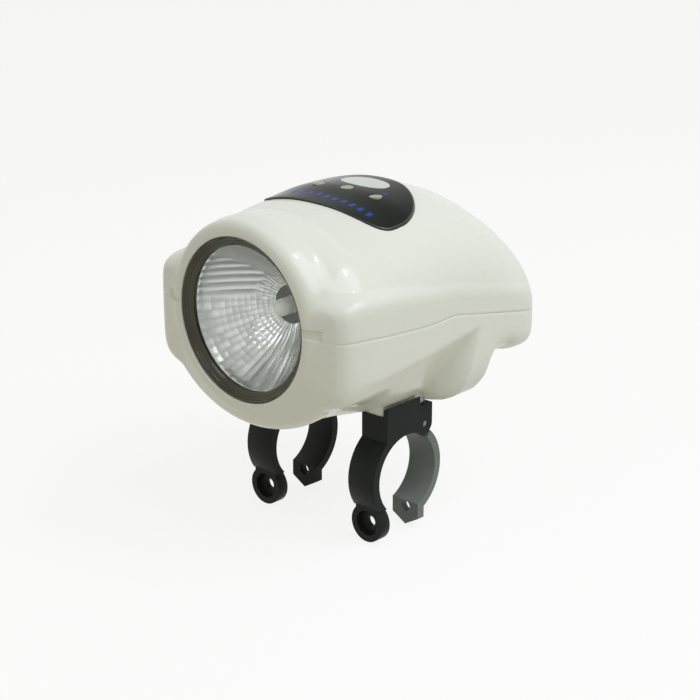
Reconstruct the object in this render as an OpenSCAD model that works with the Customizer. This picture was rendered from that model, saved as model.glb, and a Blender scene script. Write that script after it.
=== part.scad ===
// Bicycle headlight carried on two bar clamps, built as an assembly of separate parts.
// Frame: the origin is on the handlebar axis midway between the clamps.
// The bar runs along X, the lens looks along -Y and Z points up.  All sizes are in mm.

/* [Housing] */
// length of the housing from the lens opening to the tail
body_l = 124; // [114:1:136]
// greatest width of the housing
body_w = 99.6; // [94:0.2:108]
// height of the crest above the lens axis
crest_h = 38.1; // [36:0.1:42]
// depth of the belly below the lens axis
base_h = 41; // [40:0.5:46]
// drop of the shell joint at the tail
tail_drop = 14.5; // [8:0.5:18]
// wall thickness of both shells
wall = 2.2; // [1.8:0.1:3]
// depth of the triangular side scoop for each mm below its crease
scoop = 0.47; // [0.2:0.01:0.55]

/* [Front] */
// radius of the round front opening
rim_r = 31.15; // [29:0.05:33]
// radial width of the rounded front lip
nose_w = 7.3; // [5:0.1:9]
// length of the rounded front lip
nose_l = 9; // [7:0.5:11]
// drop of the front lip below the lens axis
nose_drop = 1.6; // [0:0.1:2]
// thickness of the lip in front of the bezel
lip_t = 4.2; // [3.6:0.1:4.6]
// thickness of the clear lens
lens_t = 1.8; // [1.4:0.1:2.2]
// focal length of the reflector bowl
focus = 8.9; // [7:0.1:10]

/* [Display] */
// half width of the display panel
panel_w = 32; // [26:0.5:34]
// length of the panel in front of its widest line
panel_f = 13.5; // [10:0.5:15]
// length of the panel behind its widest line
panel_l = 28; // [24:0.5:32]
// thickness of the panel above the shell
panel_t = 0.7; // [0.5:0.1:1.2]
// spacing of the indicator lamps
led_pitch = 14.4; // [11:0.1:15]
// diameter of an indicator lamp
led_d = 5; // [4:0.1:5.4]

/* [Clamps] */
// diameter of the handlebar
bar_d = 31.8; // [31:0.1:32.4]
// radial room between the bar and the clamp bore
bar_fit = 0.1; // [0.05:0.01:0.2]
// distance of each clamp from the middle
clamp_x = 27; // [26:0.5:30]
// width of a clamp along the bar
clamp_w = 13; // [12:0.5:15]
// thickness of the clamp arms
arm_t = 3.2; // [2.6:0.1:4]
// height of the clamp block above the bar axis
block_h = 25.4; // [24:0.2:29]
// height of the clamp pads under the belly
pad_t = 0.6; // [0.4:0.1:1.5]
// distance of the bar axis behind the lens opening
bar_back = 55; // [52:0.5:58]
// diameter of the hinge pin of a jaw
pin_d = 2.5; // [2:0.1:3]
// radial running room of the jaw on its pin
pin_fit = 0.05; // [0.02:0.01:0.1]
// width of the jaw knuckle between the ears
knuckle_w = 5; // [4:0.5:6]
// room on each side of the jaw knuckle
slot_fit = 0.3; // [0.2:0.05:0.5]
// diameter of the hole for a clamp bolt
bolt_d = 4.5; // [4:0.1:5]

/* [Inside] */
// width of the driver board
board_w = 50; // [46:1:54]
// length of the driver board
board_l = 38; // [36:1:42]
// thickness of the circuit boards
board_t = 1.6; // [1:0.1:2]
// distance of the posts from the edges of the driver board
post_in = 4.5; // [4:0.1:6]
// height of the posts under the driver board
post_h = 17; // [14:0.5:18]
// radius of the lamp heat sink
sink_r = 15.5; // [15:0.1:17]
// radius of the lamp board
chip_r = 10.6; // [9:0.1:11]
// radius of the hole for the lamp in the reflector
lamp_r = 5; // [4.6:0.1:6]
// bore of the cable gland
gland_d = 5; // [4:0.1:6]

/* [Hidden] */
$fn = 64;
eps = 0.01;

// Housing profiles: station along the housing (0 at the opening, 124 at the tail) and share of the full size
function along(s) = s*body_l/124;
function station(y) = 124*y/body_l;
half_tab = [[0, 0.52], [2, 0.75], [4, 0.89], [7, 0.95], [11, 0.976], [20, 0.992],
    [60, 1], [90, 1], [104, 0.988], [114, 0.954], [124, 0.93]];
crest_tab = [[0, 0.32], [4, 0.48], [9, 0.66], [16, 0.83], [26, 0.913], [36, 0.937], [46, 0.961],
    [60, 1], [76, 0.995], [90, 0.899], [103, 0.72], [114, 0.502], [124, 0.386]];
base_tab = [[0, 0.7], [4, 0.94], [9, 0.99], [16, 0.985], [40, 0.975], [58, 1], [79, 1], [82.5, 0.96],
    [85, 0.82], [87, 0.72], [90, 0.65], [95, 0.63], [102, 0.7], [109, 0.71], [124, 0.72]];
split_tab = [[0, 0], [10, 0], [30, 0.11], [50, 0.18], [62, 0.15], [72, 0.28], [85, 0.45], [124, 1]];
crease_tab = [[0, -14], [8, -16.2], [20, -16.5], [45, -14], [65, -11], [80, -9]];
// tilt of the shoulder between the upright side and the roof
shoulder_tab = [[0, 16], [12, 15], [42, 13], [66, 11], [84, 10], [124, 10]];
side_n = 4.5;
tail_n = 2.6;
blend_n = 16;

// stations of the shell rings; the first three inner rings are the lip of the opening
stations = [0, 0.5, 1.6, 3.2, 5.4, 7.6, 10, 13, 17, 22, 28, 34, 40, 46, 52, 58, 63, 68, 72.5, 76,
    79.5, 82, 83.5, 85, 86.5, 88.5, 91, 95, 99, 103, 107, 112.5, 117, 120, 122, 123.3];
rings = len(stations);
sides = 36;

function ease(a, b, x) = let (t = min(1, max(0, (x - a)/(b - a)))) t*t*(3 - 2*t);
function rise(t, i) = (t[i + 1][1] - t[i][1])/(t[i + 1][0] - t[i][0]);
function lean(t, i) = i == 0 ? rise(t, 0) : i == len(t) - 1 ? rise(t, i - 1)
    : let (p = rise(t, i - 1), q = rise(t, i)) p*q <= 0 ? 0 : 2*p*q/(p + q);
function cell(t, y, i = 0) = (i >= len(t) - 2 || y < t[i + 1][0]) ? i : cell(t, y, i + 1);
// smooth curve through the rows of a table, without overshoot
function curve(t, y) =
    let (v = min(t[len(t) - 1][0], max(t[0][0], y)), i = cell(t, v))
    let (w = t[i + 1][0] - t[i][0], s = (v - t[i][0])/w)
    t[i][1]*(2*s^3 - 3*s^2 + 1) + lean(t, i)*w*(s^3 - 2*s^2 + s)
    + t[i + 1][1]*(3*s^2 - 2*s^3) + lean(t, i + 1)*w*(s^3 - s^2);

// closing of the tail, barrel behind the opening, exponents of the section above and below the joint
function tail(s) = let (t = min(0.999, max(0, (s - 107)/17)))
    pow(1 - pow(t, tail_n), 1/tail_n);
function barrel(s) = let (t = max(0, 1 - s/nose_l)) rim_r + 0.65 + nose_w*sqrt(1 - t*t);
function roof_n(s) = 2.1 + 0.25*ease(20, 45, s) - 0.25*ease(80, 105, s);
function floor_n(s) = 2.15 + 3.6*ease(14, 48, s) - 0.6*ease(60, 100, s);
function tilt(phi) = asin(min(1, abs(sin(phi))));
function p_up(s, phi) = let (c = curve(shoulder_tab, s), n = roof_n(s))
    n + (side_n - n)*(1 - ease(c - 7, c + 7, tilt(phi)))*(1 - ease(96, 118, s));
function p_low(s, phi) = let (n = floor_n(s))
    n + (max(n, side_n) - n)*(1 - ease(16, 38, tilt(phi)));
function joint_z(s) = -tail_drop*curve(split_tab, s);
function half_w(s, t) = (body_w/2*curve(half_tab, s) - t)*tail(s);
function top_h(s, t) = (crest_h*curve(crest_tab, s) - joint_z(s) - t)*tail(s);
function low_h(s, t) = (base_h*curve(base_tab, s) + joint_z(s) - t)*tail(s);
// radius of the housing section: a superellipse around the joint line
function sect_r(s, phi, t) =
    let (up = sin(phi) >= 0, p = up ? p_up(s, phi) : p_low(s, phi), q = up ? top_h(s, t) : low_h(s, t))
    pow(pow(abs(cos(phi))/half_w(s, t), p) + pow(abs(sin(phi))/q, p), -1/p);
function front_r(s, phi, t) = (barrel(s) - t - nose_drop*ease(0, 7, s)*sin(phi))*(1 - ease(20, 40, s));
function skin_r(s, phi, t) = s >= 40 ? sect_r(s, phi, t)
    : pow(pow(front_r(s, phi, t), blend_n) + pow(sect_r(s, phi, t), blend_n), 1/blend_n);
function scoop_k(s, z) = min(0.4, scoop*max(0, curve(crease_tab, s) - z)/50)
    *ease(0, 7, 80 + 0.36*(z + 9) - s)*ease(4, 34, s);
// point of the skin at a station and an angle, moved inward by t
function skin(s, phi, t) =
    let (r = skin_r(s, phi, t), z = joint_z(s)*ease(0, 12, s) + r*sin(phi))
    [r*cos(phi)*(1 - scoop_k(s, z)), along(s) - t*ease(60, 90, s), z];
function lip(i, phi) = let (r = i < 2 ? rim_r : flange_r + 0.4) [r*cos(phi), i == 0 ? 0 : lip_t, r*sin(phi)];
// height of the outer skin over a point of the roof
function roof(x, y) = let (s = station(y), p = roof_n(s))
    joint_z(s) + top_h(s, 0)*pow(max(0, 1 - pow(abs(x)/half_w(s, 0), p)), 1/p);
// height of the outer skin over a point of the floor
function floor_z(x, y) =
    let (s = station(y), p = floor_n(s), a = half_w(s, 0)*(1 - scoop_k(s, -0.93*base_h)))
    joint_z(s) - low_h(s, 0)*pow(max(0, 1 - pow(abs(x)/a, p)), 1/p);

// places shared by several parts
pad_z = -base_h - pad_t;
lens_h = block_h - pad_z;
panel_y = along(53);
lamp_y = along(57.5);
screw_c = rim_r + 1.15;
flange_r = rim_r + 2.65;
lens_r = rim_r - 2.25;
bowl_r = rim_r - 3.75;
seat_y = lip_t - 0.6;
flange_y = seat_y + lens_t + 0.6;
apex_y = flange_y + bowl_r*bowl_r/(4*focus);
hub_y = apex_y + board_t;
hub_c = (sink_r + chip_r)/2;
card_z = crest_h - 12.5;
card_top = card_z + board_t;
tower_x = 24;
tower_r = 4.2;
tower_y = [along(24), along(88)];
tower_z = -4;
board_y = along(63);
post_x = board_w/2 - post_in;
post_y = [board_y - board_l/2 + post_in, board_y + board_l/2 - post_in];
post_z = -base_h + wall - 0.3 + post_h;
boss_x = led_pitch + 6.6;
gland_y = along(72);
screw_y = [-7, 3];
bore_r = bar_d/2 + bar_fit;
out_r = bore_r + arm_t;
// hinge pin and feet of a clamp, measured from the bar axis (back, up)
ear_r = 3.9;
pin_a = 60;
pin_p = (bore_r + ear_r + 0.3)*[cos(pin_a), sin(pin_a)];
foot_z = -bore_r - 1.2;
foot_r = 7.6;
foot_y = [-out_r + 3.2, -11.2];
jaw_y = [6.3, 9.8];
nut_r = bolt_d/2 + 1.85;
top_z = block_h;

module at_light() translate([0, -bar_back, lens_h]) children();
// cylinder along Y from y0 to y1
module rod_y(r, y0, y1) translate([0, y1, 0]) rotate([90, 0, 0]) cylinder(r = r, h = y1 - y0);
// cylinder along X, centred
module rod_x(r, w) rotate([0, 90, 0]) cylinder(r = r, h = w, center = true);
// ring turned around the lens axis from an outline of [radius, depth] points
module turned(pts) rotate([-90, 0, 0]) rotate_extrude($fn = 128) polygon([for (p = pts) [p[0], p[1]]]);
// screw standing on z = 0 with its head above and its shank below
module screw(head_r, head_h, shank_r, len) {
    difference() {
        cylinder(r = head_r, h = head_h, $fn = 32);
        translate([0, 0, head_h - 0.5]) cube([head_r*1.3, 0.5, 1.2], center = true);
        translate([0, 0, head_h - 0.5]) cube([0.5, head_r*1.3, 1.2], center = true);
    }
    translate([0, 0, -len]) cylinder(r = shank_r, h = len + eps, $fn = 32);
}

// half of the housing between two angles as one closed skin
module half_shell(phi0) {
    n = sides + 1;
    ang = [for (j = [0:sides]) phi0 + 180*j/sides];
    outer = [for (i = [0:rings - 1]) for (a = ang) skin(stations[i], a, 0)];
    inner = [for (i = [0:rings - 1]) for (a = ang) i < 3 ? lip(i, a) : skin(stations[i], a, wall)];
    last = stations[rings - 1];
    mid = [[0, along(last), joint_z(last)], [0, along(last) - wall, joint_z(last)]];
    b = rings*n;
    c = 2*b;
    e = rings - 1;
    faces = concat(
        [for (i = [0:e - 1]) for (j = [0:sides - 1]) each [
            [i*n + j, i*n + j + 1, (i + 1)*n + j + 1],
            [i*n + j, (i + 1)*n + j + 1, (i + 1)*n + j],
            [b + i*n + j, b + (i + 1)*n + j + 1, b + i*n + j + 1],
            [b + i*n + j, b + (i + 1)*n + j, b + (i + 1)*n + j + 1]]],
        [for (j = [0:sides - 1]) each [
            [j + 1, j, b + j], [j + 1, b + j, b + j + 1],
            [c, e*n + j, e*n + j + 1], [c + 1, b + e*n + j + 1, b + e*n + j]]],
        [for (i = [0:e - 1]) each [
            [i*n, (i + 1)*n, b + (i + 1)*n], [i*n, b + (i + 1)*n, b + i*n],
            [b + i*n + sides, b + (i + 1)*n + sides, (i + 1)*n + sides],
            [b + i*n + sides, (i + 1)*n + sides, i*n + sides]]],
        [[e*n, c, c + 1], [e*n, c + 1, b + e*n],
            [b + e*n + sides, c + 1, c], [b + e*n + sides, c, e*n + sides]]);
    polyhedron(points = concat(outer, inner, mid), faces = faces, convexity = 8);
}

// axes of the four lip screws on the rim of the bezel
module rim_screws(first) for (a = [first, first + 90]) translate(screw_c*[cos(a), 0, sin(a)]) children();

module upper_shell() color([0.90, 0.91, 0.88]) at_light() difference() {
    union() {
        half_shell(0);
        for (x = [-1, 1]*tower_x, y = tower_y) translate([x, y, tower_z])
            cylinder(r = tower_r, h = roof(tower_x + tower_r, y) - tower_z - 0.3*wall);
        for (x = [-1, 1]*boss_x) translate([x, lamp_y, card_top])
            cylinder(r = 2.6, h = roof(boss_x + 2.6, lamp_y) - card_top - 0.3*wall);
    }
    for (x = [-1, 1]*tower_x, y = tower_y) translate([x, y, tower_z - 1]) cylinder(r = 1.25, h = 13);
    for (x = [-1, 1]*boss_x) translate([x, lamp_y, card_top - 1]) cylinder(r = 1, h = 6);
    for (x = [-1, 0, 1]*led_pitch) translate([x, lamp_y, 20]) cylinder(r = led_d/2 + 0.4, h = 30);
    rim_screws(45) rod_y(1, 1.6, lip_t + 1);
}

module lower_shell() color([0.88, 0.89, 0.86]) at_light() difference() {
    union() {
        half_shell(180);
        for (m = [0, 1]) mirror([m, 0, 0]) translate([clamp_x - clamp_w/2 + 0.4, bar_back - 11.1, pad_z])
            cube([clamp_w - 2.8, 24.7, 5.2]);
        for (x = [-1, 1]*tower_x, y = tower_y) let (z = floor_z(tower_x + tower_r, y) + 0.6)
            translate([x, y, z]) cylinder(r = tower_r, h = tower_z - z);
        for (x = [-1, 1]*post_x, y = post_y) let (z = floor_z(post_x + 3, y) + 0.6)
            translate([x, y, z]) cylinder(r = 3, h = post_z - z);
        for (x = [-1, 1]*clamp_x, y = screw_y)
            translate([x, bar_back + y, pad_z + 2]) cylinder(r = 4, h = 6.4);
    }
    for (x = [-1, 1]*tower_x, y = tower_y) translate([x, y, -base_h - 5]) {
        cylinder(r = 3.1, h = base_h + 5 - 10);
        cylinder(r = 1.7, h = base_h + 10);
    }
    for (x = [-1, 1]*post_x, y = post_y) translate([x, y, post_z - 9]) cylinder(r = 1, h = 10);
    for (x = [-1, 1]*clamp_x, y = screw_y) translate([x, bar_back + y, pad_z - 5]) cylinder(r = 1.6, h = 30);
    translate([0, gland_y, -base_h - 5]) cylinder(r = gland_d/2 + 1.6, h = 10);
    rim_screws(225) rod_y(1, 1.6, lip_t + 1);
}

// outline of the panel: blunt in front, drawn out to a tip behind
function panel_r(a) = let (p = sin(a) < 0 ? 4.2 : 1.5, l = sin(a) < 0 ? panel_f : panel_l)
    pow(pow(abs(cos(a))/panel_w, p) + pow(abs(sin(a))/l, p), -1/p);
module display_panel() color([0.06, 0.07, 0.06]) at_light() difference() {
    m = 48;
    k = 7;
    ring = [for (i = [1:k]) for (j = [0:m - 1])
        let (a = 360*j/m, r = panel_r(a)*i/k) [r*cos(a), panel_y + r*sin(a)]];
    flat = concat([[0, panel_y]], ring);
    b = len(flat);
    pts = concat([for (p = flat) [p[0], p[1], roof(p[0], p[1]) + panel_t]],
        [for (p = flat) [p[0], p[1], roof(p[0], p[1]) - 0.15]]);
    e = 1 + (k - 1)*m;
    faces = concat(
        [for (j = [0:m - 1]) let (q = (j + 1)%m) each [
            [0, 1 + q, 1 + j], [b, b + 1 + j, b + 1 + q],
            [e + j, e + q, b + e + q], [e + j, b + e + q, b + e + j]]],
        [for (i = [0:k - 2]) for (j = [0:m - 1]) let (q = (j + 1)%m, u = 1 + i*m, v = u + m) each [
            [u + j, u + q, v + q], [u + j, v + q, v + j],
            [b + u + j, b + v + q, b + u + q], [b + u + j, b + v + j, b + v + q]]]);
    polyhedron(points = pts, faces = faces, convexity = 4);
    for (x = [-1, 0, 1]*led_pitch) translate([x, lamp_y, 20]) cylinder(r = led_d/2 + 0.1, h = 30);
}

module bezel_ring() color([0.16, 0.15, 0.11]) at_light() difference() {
    turned([[rim_r - 0.5, 0.7], [lens_r - 1.6, seat_y - 0.2], [lens_r - 1.6, seat_y],
        [lens_r + 0.1, seat_y], [lens_r + 0.1, flange_y], [flange_r, flange_y], [flange_r, lip_t],
        [rim_r - 0.2, lip_t], [rim_r - 0.2, 0.7]]);
    rim_screws(45) rod_y(1.2, 0, 20);
    rim_screws(225) rod_y(1.2, 0, 20);
}

module front_lens() color([0.85, 0.9, 0.92, 0.4]) at_light()
    turned(concat([[0, seat_y + lens_t], [0, seat_y - 0.8]],
        [for (i = [1:9]) [(lens_r - 1.9)*i/9, seat_y - 0.8*(1 - i*i/81)]],
        [[lens_r, seat_y], [lens_r, seat_y + lens_t]]));

module lens_gasket() color([0.1, 0.1, 0.1]) at_light()
    turned([[lens_r - 1.3, seat_y + lens_t], [lens_r, seat_y + lens_t], [lens_r, flange_y],
        [lens_r - 1.3, flange_y]]);

// bowl of the reflector: depth falls from the apex as r*r/(4 focus)
function bowl(i) = lamp_r + (bowl_r - lamp_r)*i/14;
module reflector() color([0.82, 0.83, 0.84]) at_light() difference() {
    union() {
        turned(concat([for (i = [0:14]) let (r = bowl(i)) [r, apex_y - r*r/(4*focus)]],
            [[flange_r, flange_y], [flange_r, flange_y + 1.6], [bowl_r + 2.2, flange_y + 1.6]],
            [for (i = [14:-1:4]) let (r = bowl(i)) [r + 1.7, apex_y + 0.9 - r*r/(4*focus)]],
            [[lamp_r, apex_y]]));
        turned([[lamp_r, apex_y - 0.5], [sink_r - 2.5, apex_y - 5], [sink_r, apex_y - 4.5],
            [sink_r, hub_y], [chip_r, hub_y], [chip_r, apex_y], [lamp_r, apex_y]]);
    }
    rim_screws(45) rod_y(1.2, 0, 20);
    rim_screws(225) rod_y(1.2, 0, 20);
    for (a = [90, 210, 330]) translate(hub_c*[cos(a), 0, sin(a)]) rod_y(1, apex_y - 3.6, hub_y + 1);
}

module led_board() color([0.85, 0.86, 0.85]) at_light() rod_y(chip_r, apex_y, hub_y);

module led_emitter() color([0.95, 0.9, 0.55]) at_light() translate([0, apex_y, 0]) {
    rod_y(4.2, -1, 0);
    rod_y(3.2, -5, -0.5);
    difference() {
        translate([0, -5, 0]) sphere(r = 3.2);
        translate([-4, -4.9, -4]) cube([8, 8, 8]);
    }
}

module heat_sink() color([0.62, 0.63, 0.65]) at_light() difference() {
    union() {
        rod_y(sink_r, hub_y, hub_y + 3);
        intersection() {
            union() for (k = [-3:3]) translate([2.5*k - 0.6, hub_y + 2, -9.5]) cube([1.2, 12, 19]);
            rod_y(sink_r, hub_y, hub_y + 20);
        }
    }
    for (a = [90, 210, 330]) translate(hub_c*[cos(a), 0, sin(a)]) rod_y(1.3, hub_y - 1, hub_y + 4);
}

module led_screws() color([0.7, 0.7, 0.7]) at_light() for (a = [90, 210, 330])
    translate([hub_c*cos(a), hub_y + 3, hub_c*sin(a)]) rotate([-90, 0, 0]) screw(2, 1.5, 1, 7.6);

module reflector_screws() color([0.7, 0.7, 0.7]) at_light() for (a = [45, 135, 225, 315])
    translate([screw_c*cos(a), flange_y + 1.6, screw_c*sin(a)]) rotate([-90, 0, 0])
        screw(1.4, 1.3, 1, flange_y - 0.1);

module driver_board() color([0.1, 0.35, 0.16]) at_light() difference() {
    translate([-board_w/2, board_y - board_l/2, post_z]) cube([board_w, board_l, board_t]);
    for (x = [-1, 1]*post_x, y = post_y) translate([x, y, post_z - 1]) cylinder(r = 1.2, h = 4);
}

module driver_components() color([0.14, 0.14, 0.15]) at_light() translate([0, board_y, post_z + board_t]) {
    translate([-14, 2, 0]) cylinder(r = 4, h = 8);
    translate([-14, -9, 0]) cylinder(r = 3, h = 6);
    translate([0, 8, 0]) cylinder(r = 5.5, h = 5.5);
    translate([-5, -7, 0]) cube([9, 7, 2]);
    translate([10, -4, 0]) cube([6, 9, 4.4]);
    translate([-4, -17, 0]) cube([10, 6, 5]);
    translate([7, 10, 0]) cube([9, 6, 5]);
}

module board_screws() color([0.7, 0.7, 0.7]) at_light() for (x = [-1, 1]*post_x, y = post_y)
    translate([x, y, post_z + board_t]) screw(2.2, 1.6, 1, 8);

module indicator_board() color([0.1, 0.35, 0.16]) at_light() difference() {
    translate([-boss_x - 4, lamp_y - 7, card_z]) cube([2*boss_x + 8, 14, board_t]);
    for (x = [-1, 1]*boss_x) translate([x, lamp_y, card_z - 1]) cylinder(r = 1.2, h = 5);
}

// lamp: flange on the board, straight body and a dome that looks out through the panel
module indicator_leds() color([0.86, 0.85, 0.76]) at_light() for (x = [-1, 0, 1]*led_pitch)
translate([x, lamp_y, card_top]) {
    h = roof(x, lamp_y) - card_top + panel_t + 0.4;
    intersection() {
        cylinder(r = led_d/2, h = h + 5);
        translate([0, 0, h - 2*led_d]) sphere(r = 2*led_d);
    }
    cylinder(r = led_d/2 + 0.35, h = 1);
}

module indicator_screws() color([0.7, 0.7, 0.7]) at_light() for (x = [-1, 1]*boss_x)
    translate([x, lamp_y, card_z]) rotate([180, 0, 0]) screw(2, 1.4, 1, 6);

// lead from the driver board up to the lamp board, through a notch above the sink
module led_lead() color([0.6, 0.08, 0.06]) at_light() {
    y0 = board_y - board_l/2 + 4;
    translate([-10, y0, post_z + board_t]) cylinder(r = 1, h = -post_z - board_t, $fn = 24);
    translate([-10, y0, 0]) sphere(r = 1, $fn = 24);
    translate([-10, 0, 0]) rod_y(1, hub_y + 3, y0, $fn = 24);
}

// link from the driver board to the indicator board
module board_link() color([0.2, 0.2, 0.22]) at_light()
    translate([-3, lamp_y + 5.7, post_z + board_t]) cube([6, 1.2, card_z - post_z - board_t]);

module shell_screws() color([0.62, 0.62, 0.64]) at_light() for (x = [-1, 1]*tower_x, y = tower_y)
    translate([x, y, -10]) rotate([180, 0, 0]) screw(2.8, 2, 1.25, 15);

module cable_gland() color([0.08, 0.08, 0.08]) at_light() translate([0, gland_y, -base_h]) difference() {
    union() {
        translate([0, 0, -2.4]) cylinder(r = gland_d/2 + 3.6, h = 2.5);
        cylinder(r = gland_d/2 + 1.6, h = wall);
        translate([0, 0, wall - 0.1]) cylinder(r = gland_d/2 + 3, h = 1.8);
    }
    translate([0, 0, -5]) cylinder(r = gland_d/2, h = 15);
}

// fixed half of a clamp: block under the housing, ears of the hinge, front arm and its foot
module bracket() {
    difference() {
        union() {
            difference() {
                translate([-clamp_w/2, -11.5, 0]) cube([clamp_w, 11.5 + pin_p[0], top_z]);
                translate([0, pin_p[0], pin_p[1] - 20]) cube([clamp_w + 2, 1, 20], center = true);
            }
            translate([-clamp_w/2, pin_p[0] - eps, pin_p[1]]) cube([clamp_w, ear_r, top_z - pin_p[1]]);
            translate([0, pin_p[0], pin_p[1]]) rod_x(ear_r, clamp_w);
            intersection() {
                rod_x(out_r, clamp_w);
                translate([-clamp_w, -40, -11]) cube([2*clamp_w, 40, 40]);
            }
            translate([0, 0, foot_z]) rod_y(foot_r, foot_y[0], foot_y[1]);
            translate([1 - clamp_w/2, foot_y[0], -13]) cube([clamp_w - 2, foot_y[1] - foot_y[0], 2.6]);
            // upstand beside the pad, up to the belly
            translate([0, 7, top_z]) rotate([90, 0, 0]) linear_extrude(18.5)
                polygon([[clamp_w/2 - 2.1, -1], [clamp_w/2, -1], [clamp_w/2, 4.2], [clamp_w/2 - 2.1, 3]]);
        }
        rod_x(bore_r, clamp_w + 2);
        translate([0, 0, foot_z]) rod_y(bolt_d/2, -40, 0);
        translate([0, 0, foot_z]) rod_y(5, -40, foot_y[0] + 2.4);
        translate([0, pin_p[0], pin_p[1]]) rod_x(pin_d/2, clamp_w + 2);
        translate([0, pin_p[0], pin_p[1]]) rod_x(ear_r + 0.7, knuckle_w + 2*slot_fit);
        translate([-knuckle_w/2 - slot_fit, pin_p[0] - 3, 0])
            cube([knuckle_w + 2*slot_fit, 20, pin_p[1] + 2.2]);
        for (y = screw_y) translate([0, y, top_z - 7.2]) cylinder(r = 1.25, h = 20);
    }
}

// hinged half of a clamp: knuckle on the pin, rear arm and its pointed foot
module jaw() {
    difference() {
        union() {
            difference() {
                intersection() {
                    rod_x(out_r, clamp_w);
                    translate([-clamp_w, jaw_y[0], -40]) cube([2*clamp_w, 40, 80]);
                }
                rotate([pin_a - 13.5, 0, 0]) translate([-clamp_w, -40, 0]) cube([2*clamp_w, 80, 40]);
            }
            translate([0, jaw_y[1], 0]) rotate([90, 0, 0]) linear_extrude(jaw_y[1] - jaw_y[0])
                polygon([[-clamp_w/2, -13], [-clamp_w/2, foot_z - 3.75], [0, foot_z - 7.5],
                    [clamp_w/2, foot_z - 3.75], [clamp_w/2, -13]]);
            translate([0, pin_p[0], pin_p[1]]) rod_x(ear_r - 0.5, knuckle_w);
            translate([0.2 - knuckle_w/2, pin_p[0], pin_p[1]]) rotate([-66, 0, 0])
                translate([0, 0, -1.7]) cube([knuckle_w - 0.4, 7.2, 3.4]);
        }
        rod_x(bore_r, clamp_w + 2);
        translate([0, pin_p[0], pin_p[1]]) rod_x(pin_d/2 + pin_fit, clamp_w + 2);
        translate([0, 0, foot_z]) rod_y(bolt_d/2, 0, 40);
        // flat seat of the clamp nut behind the foot
        translate([0, 0, foot_z]) rod_y(nut_r, jaw_y[1], 40);
    }
}

module clamp_bracket_left() color([0.14, 0.15, 0.15]) translate([clamp_x, 0, 0]) bracket();
module clamp_bracket_right() color([0.14, 0.15, 0.15]) mirror([1, 0, 0]) translate([clamp_x, 0, 0]) bracket();
module clamp_jaw_left() color([0.3, 0.32, 0.33]) translate([clamp_x, 0, 0]) jaw();
module clamp_jaw_right() color([0.14, 0.15, 0.15]) translate([-clamp_x, 0, 0]) jaw();
module hinge_pin() translate([0, pin_p[0], pin_p[1]]) rod_x(pin_d/2, clamp_w - 0.6);
module jaw_pin_left() color([0.7, 0.7, 0.72]) translate([clamp_x, 0, 0]) hinge_pin();
module jaw_pin_right() color([0.7, 0.7, 0.72]) translate([-clamp_x, 0, 0]) hinge_pin();
module bracket_screws() color([0.62, 0.62, 0.64]) for (x = [-1, 1]*clamp_x, y = screw_y)
    translate([x, y, top_z + 8.4]) screw(2.8, 2, 1.25, 15);

upper_shell();
lower_shell();
display_panel();
bezel_ring();
front_lens();
lens_gasket();
reflector();
led_emitter();
led_board();
heat_sink();
led_screws();
reflector_screws();
driver_board();
driver_components();
board_screws();
indicator_board();
indicator_leds();
indicator_screws();
led_lead();
board_link();
shell_screws();
cable_gland();
clamp_bracket_left();
clamp_bracket_right();
bracket_screws();
clamp_jaw_left();
clamp_jaw_right();
jaw_pin_left();
jaw_pin_right();
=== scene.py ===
"""Bicycle headlight: smooth housing, display panel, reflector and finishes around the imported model."""
import math

import bmesh
import bpy
import numpy as np
from bpy.props import FloatProperty, FloatVectorProperty, IntProperty, PointerProperty
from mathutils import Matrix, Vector


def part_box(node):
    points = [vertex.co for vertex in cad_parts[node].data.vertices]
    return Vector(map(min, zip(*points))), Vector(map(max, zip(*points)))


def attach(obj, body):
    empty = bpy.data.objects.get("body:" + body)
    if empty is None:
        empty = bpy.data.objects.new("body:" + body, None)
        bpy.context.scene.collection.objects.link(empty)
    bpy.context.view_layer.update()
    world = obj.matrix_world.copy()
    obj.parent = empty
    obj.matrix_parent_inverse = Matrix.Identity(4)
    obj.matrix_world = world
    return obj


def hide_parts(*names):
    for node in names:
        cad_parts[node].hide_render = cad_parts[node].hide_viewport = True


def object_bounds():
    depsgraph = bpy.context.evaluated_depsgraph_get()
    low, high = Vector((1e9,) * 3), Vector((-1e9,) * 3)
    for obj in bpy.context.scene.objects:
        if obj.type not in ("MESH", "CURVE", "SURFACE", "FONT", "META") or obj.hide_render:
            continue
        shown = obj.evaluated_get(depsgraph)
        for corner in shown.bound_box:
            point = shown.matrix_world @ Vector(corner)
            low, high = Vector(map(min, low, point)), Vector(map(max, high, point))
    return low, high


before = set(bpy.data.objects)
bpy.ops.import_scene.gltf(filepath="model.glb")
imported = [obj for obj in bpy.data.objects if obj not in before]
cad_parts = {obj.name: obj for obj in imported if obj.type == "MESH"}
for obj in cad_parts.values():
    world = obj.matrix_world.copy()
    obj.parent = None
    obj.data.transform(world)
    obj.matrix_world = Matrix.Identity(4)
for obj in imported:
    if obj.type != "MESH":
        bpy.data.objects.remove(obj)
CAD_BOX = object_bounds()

bl_info = {
    "name": "Bicycle headlight",
    "version": (1, 0, 0),
    "blender": (4, 5, 0),
    "location": "View3D > Sidebar > Headlight",
    "description": "Builds the pieces and finishes of a bicycle headlight around its packed model",
    "category": "Add Mesh",
}

MM = 0.001
BEZEL_LOW, BEZEL_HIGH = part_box("bezel_ring")
# centre of the round opening: the bezel starts 0.7 mm behind it
OPENING = np.array([0.0, BEZEL_LOW.y - 0.7 * MM, (BEZEL_LOW.z + BEZEL_HIGH.z) / 2])

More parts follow.
